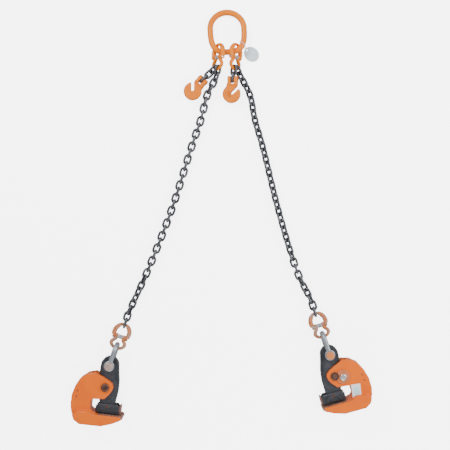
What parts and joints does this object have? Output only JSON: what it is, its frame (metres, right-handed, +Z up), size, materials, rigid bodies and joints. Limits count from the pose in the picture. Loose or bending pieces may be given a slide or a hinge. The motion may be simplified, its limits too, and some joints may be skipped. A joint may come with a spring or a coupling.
{
  "type": "two-leg chain sling with plate lifting clamps",
  "caption": "Two-leg chain sling: egg-shaped master link, oval tag, couplings, shortening hooks and chains, each leg ending in a shackle and a horizontal plate lifting clamp",
  "frame": {"origin": "on the floor, in the middle of the sling's outline as it lies flat", "axes": "+Z up from the floor, +Y from the clamps to the master link, +X across from the left leg to the right"},
  "size_m": [1.0436, 1.453, 0.0864],
  "materials": {
    "paint": "glossy orange paint",
    "worn_paint": "rubbed orange paint",
    "chain": "blackened, slightly oily",
    "dark_pin": "browned steel",
    "insert": "browned hardened steel",
    "lever": "satin black paint",
    "zinc": "galvanised",
    "tag": "pale blue-white",
    "tie": "white coated wire"
  },
  "bodies": {
    "chain_left_1": {"chain_left_1": "chain"},
    "chain_left_2": {"chain_left_2": "chain"},
    "chain_left_3": {"chain_left_3": "chain"},
    "chain_left_4": {"chain_left_4": "chain"},
    "chain_right_1": {"chain_right_1": "chain"},
    "chain_right_2": {"chain_right_2": "chain"},
    "chain_right_3": {"chain_right_3": "chain"},
    "chain_right_4": {"chain_right_4": "chain"},
    "clamp_left": {"clamp_body_left": "paint", "jaw_insert_left": "insert", "lock_bolt_left": "zinc", "lock_disc_left": "paint", "pivot_bolt_left": "dark_pin", "pivot_collar_left": "dark_pin"},
    "clamp_right": {"clamp_body_right": "paint", "jaw_insert_right": "insert", "lock_bolt_right": "zinc", "lock_disc_right": "paint", "pivot_bolt_right": "dark_pin", "pivot_collar_right": "dark_pin"},
    "end_coupling_left_lower": {"end_coupling_left_lower_half": "worn_paint"},
    "end_coupling_left_upper": {"end_coupling_left_load_pin": "zinc", "end_coupling_left_sleeve": "zinc", "end_coupling_left_upper_half": "worn_paint"},
    "end_coupling_right_lower": {"end_coupling_right_lower_half": "worn_paint"},
    "end_coupling_right_upper": {"end_coupling_right_load_pin": "zinc", "end_coupling_right_sleeve": "zinc", "end_coupling_right_upper_half": "worn_paint"},
    "hook_left": {"clevis_pin_left": "dark_pin", "hook_left": "paint"},
    "hook_links_left": {"hook_links_left": "chain"},
    "hook_links_right": {"hook_links_right": "chain"},
    "hook_right": {"clevis_pin_right": "dark_pin", "hook_right": "paint"},
    "lever_left": {"foot_left": "lever", "foot_pin_left": "dark_pin", "lever_bush_left": "dark_pin", "lever_left": "lever"},
    "lever_right": {"foot_pin_right": "dark_pin", "foot_right": "lever", "lever_bush_right": "dark_pin", "lever_right": "lever"},
    "master": {"master_link": "paint"},
    "shackle_left": {"shackle_bow_left": "zinc", "shackle_nut_left": "zinc", "shackle_pin_left": "paint"},
    "shackle_right": {"shackle_bow_right": "zinc", "shackle_nut_right": "zinc", "shackle_pin_right": "paint"},
    "tag": {"tag": "tag"},
    "tie": {"tag_tie": "tie"},
    "top_coupling_left_lower": {"top_coupling_left_lower_half": "paint"},
    "top_coupling_left_upper": {"top_coupling_left_load_pin": "zinc", "top_coupling_left_sleeve": "zinc", "top_coupling_left_upper_half": "paint"},
    "top_coupling_right_lower": {"top_coupling_right_lower_half": "paint"},
    "top_coupling_right_upper": {"top_coupling_right_load_pin": "zinc", "top_coupling_right_sleeve": "zinc", "top_coupling_right_upper_half": "paint"}
  },
  "joints": [
    {"name": "tie_swing", "type": "hinge", "parent": "master", "child": "tie", "pos_m": [0.07474, 0.60034, 0.02804], "axis": [-0.3371, -0.932, 0.1334], "range_deg": [0, 20]},
    {"name": "tag_swing", "type": "hinge", "parent": "tie", "child": "tag", "pos_m": [0.09063, 0.58512, 0.0062], "axis": [-0.6919, -0.722, 0], "range_deg": [0, 4]},
    {"name": "top_coupling_on_link_left", "type": "hinge", "parent": "master", "child": "top_coupling_left_upper", "pos_m": [-0.00976, 0.57619, 0.03091], "axis": [-0.9128, 0.4031, -0.0658], "range_deg": [0, 7]},
    {"name": "load_pin_top_left", "type": "hinge", "parent": "top_coupling_left_upper", "child": "top_coupling_left_lower", "pos_m": [-0.01126, 0.55465, 0.02801], "axis": [-0.5994, 0.0419, -0.7993], "range_deg": [0, 5]},
    {"name": "chain_on_coupling_left", "type": "hinge", "parent": "top_coupling_left_lower", "child": "chain_left_1", "pos_m": [-0.01205, 0.51285, 0.03085], "axis": [0, 0, 1], "range_deg": [-3, 5]},
    {"name": "chain_link_left_2", "type": "hinge", "parent": "chain_left_1", "child": "chain_left_2", "pos_m": [-0.08547, 0.29748, 0.0159], "axis": [0, 0, 1], "range_deg": [-6, 6]},
    {"name": "chain_link_left_3", "type": "hinge", "parent": "chain_left_2", "child": "chain_left_3", "pos_m": [-0.15787, 0.07172, 0.0159], "axis": [0, 0, 1], "range_deg": [-6, 6]},
    {"name": "chain_link_left_4", "type": "hinge", "parent": "chain_left_3", "child": "chain_left_4", "pos_m": [-0.25004, -0.17227, 0.0159], "axis": [0, 0, 1], "range_deg": [-6, 6]},
    {"name": "coupling_on_chain_left", "type": "hinge", "parent": "chain_left_4", "child": "end_coupling_left_upper", "pos_m": [-0.34321, -0.39419, 0.02222], "axis": [0, 0, 1], "range_deg": [-8, 8]},
    {"name": "load_pin_end_left", "type": "hinge", "parent": "end_coupling_left_upper", "child": "end_coupling_left_lower", "pos_m": [-0.35425, -0.42625, 0.03005], "axis": [-0.9455, 0.3256, 0], "range_deg": [0, 20]},
    {"name": "shackle_on_coupling_left", "type": "hinge", "parent": "end_coupling_left_lower", "child": "shackle_left", "pos_m": [-0.36273, -0.45087, 0.0445], "axis": [0, 0, 1], "range_deg": [-8, 8]},
    {"name": "lever_on_shackle_left", "type": "hinge", "parent": "shackle_left", "child": "lever_left", "pos_m": [-0.38715, -0.52178, 0.0445], "axis": [0, 0, 1], "range_deg": [-15, 15]},
    {"name": "jaw_pivot_left", "type": "hinge", "parent": "lever_left", "child": "clamp_left", "pos_m": [-0.40076, -0.59523, 0.0445], "axis": [0, 0, 1], "range_deg": [-20, 1]},
    {"name": "hook_links_on_coupling_left", "type": "hinge", "parent": "top_coupling_left_lower", "child": "hook_links_left", "pos_m": [-0.02244, 0.5177, 0.01661], "axis": [0, 0, 1], "range_deg": [-8, 0]},
    {"name": "hook_pin_left", "type": "hinge", "parent": "hook_links_left", "child": "hook_left", "pos_m": [-0.066, 0.47562, 0.01661], "axis": [-0.7039, 0.7068, -0.0702], "range_deg": [0, 20]},
    {"name": "top_coupling_on_link_right", "type": "hinge", "parent": "master", "child": "top_coupling_right_upper", "pos_m": [0.05124, 0.57608, 0.03139], "axis": [-0.932, -0.3597, 0.0453], "range_deg": [0, 7]},
    {"name": "load_pin_top_right", "type": "hinge", "parent": "top_coupling_right_upper", "child": "top_coupling_right_lower", "pos_m": [0.04974, 0.55454, 0.02849], "axis": [-0.5994, 0.0419, 0.7993], "range_deg": [0, 5]},
    {"name": "chain_on_coupling_right", "type": "hinge", "parent": "top_coupling_right_lower", "child": "chain_right_1", "pos_m": [0.05469, 0.51551, 0.0183], "axis": [0, 0, 1], "range_deg": [0, 5]},
    {"name": "chain_link_right_2", "type": "hinge", "parent": "chain_right_1", "child": "chain_right_2", "pos_m": [0.1287, 0.30035, 0.01159], "axis": [0, 0, 1], "range_deg": [-6, 6]},
    {"name": "chain_link_right_3", "type": "hinge", "parent": "chain_right_2", "child": "chain_right_3", "pos_m": [0.18747, 0.07161, 0.01159], "axis": [0, 0, 1], "range_deg": [-6, 6]},
    {"name": "chain_link_right_4", "type": "hinge", "parent": "chain_right_3", "child": "chain_right_4", "pos_m": [0.24525, -0.13294, 0.01242], "axis": [0, 0, 1], "range_deg": [-6, 6]},
    {"name": "coupling_on_chain_right", "type": "hinge", "parent": "chain_right_4", "child": "end_coupling_right_upper", "pos_m": [0.33338, -0.35496, 0.02222], "axis": [0, 0, 1], "range_deg": [-8, 8]},
    {"name": "load_pin_end_right", "type": "hinge", "parent": "end_coupling_right_upper", "child": "end_coupling_right_lower", "pos_m": [0.34385, -0.38721, 0.03005], "axis": [-0.9511, -0.309, 0], "range_deg": [0, 20]},
    {"name": "shackle_on_coupling_right", "type": "hinge", "parent": "end_coupling_right_lower", "child": "shackle_right", "pos_m": [0.3519, -0.41197, 0.0445], "axis": [0, 0, 1], "range_deg": [-8, 8]},
    {"name": "lever_on_shackle_right", "type": "hinge", "parent": "shackle_right", "child": "lever_right", "pos_m": [0.37508, -0.4833, 0.0445], "axis": [0, 0, 1], "range_deg": [-15, 15]},
    {"name": "jaw_pivot_right", "type": "hinge", "parent": "lever_right", "child": "clamp_right", "pos_m": [0.39124, -0.55623, 0.0445], "axis": [0, 0, -1], "range_deg": [-20, 1]},
    {"name": "hook_links_on_coupling_right", "type": "hinge", "parent": "top_coupling_right_lower", "child": "hook_links_right", "pos_m": [0.04418, 0.51321, 0.03203], "axis": [0, 0, 1], "range_deg": [-8, 0]},
    {"name": "hook_pin_right", "type": "hinge", "parent": "hook_links_right", "child": "hook_right", "pos_m": [0.04043, 0.47759, 0.02666], "axis": [-0.9763, 0.0574, -0.2085], "range_deg": [0, 3]}
  ]
}
